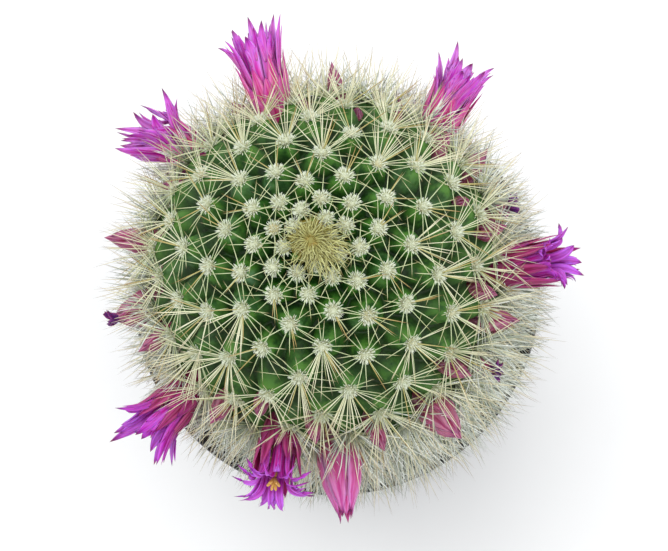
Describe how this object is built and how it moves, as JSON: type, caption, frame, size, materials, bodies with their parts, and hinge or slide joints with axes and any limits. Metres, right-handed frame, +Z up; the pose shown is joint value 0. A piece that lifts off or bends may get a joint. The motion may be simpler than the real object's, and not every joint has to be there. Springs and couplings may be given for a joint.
{
  "type": "potted cactus",
  "caption": "Round cactus with conical tubercles, starry spines and a ring of funnel flowers and pointed buds, in a tapered nursery pot.",
  "frame": {"origin": "middle of the pot's underside, where the pot stands", "axes": "+Z up along the axis of the pot and the stem; seen from above with +X to the right, +Y is the top of the picture"},
  "size_m": [0.0972, 0.1009, 0.1412],
  "materials": {
    "pot": "satin",
    "soil": "matte",
    "stem": "satin",
    "spine": "matte",
    "petal": "satin",
    "bud": "satin",
    "stigma": "matte"
  },
  "bodies": {
    "root": {"pot": "pot", "soil": "soil", "cactus": "stem", "crown_spines": "spine", "flower_1": "petal", "flower_2": "petal", "flower_3": "petal", "flower_4": "petal", "flower_5": "petal", "flower_6": "petal", "flower_7": "bud", "stigma_1": "stigma", "stigma_2": "stigma", "stigma_3": "stigma", "stigma_4": "stigma", "stigma_5": "stigma", "stigma_6": "stigma", "bud_01": "bud", "bud_02": "bud", "bud_03": "bud", "bud_04": "bud", "bud_05": "bud", "bud_06": "bud", "bud_07": "bud", "bud_08": "bud", "bud_09": "bud", "bud_10": "bud", "bud_11": "bud", "bud_12": "bud", "bud_13": "bud", "bud_14": "bud", "bud_15": "bud", "bud_16": "bud", "bud_17": "bud", "bud_18": "bud", "bud_19": "bud", "bud_20": "bud", "bud_21": "bud", "bud_22": "bud", "bud_23": "bud", "bud_24": "bud"}
  },
  "joints": []
}
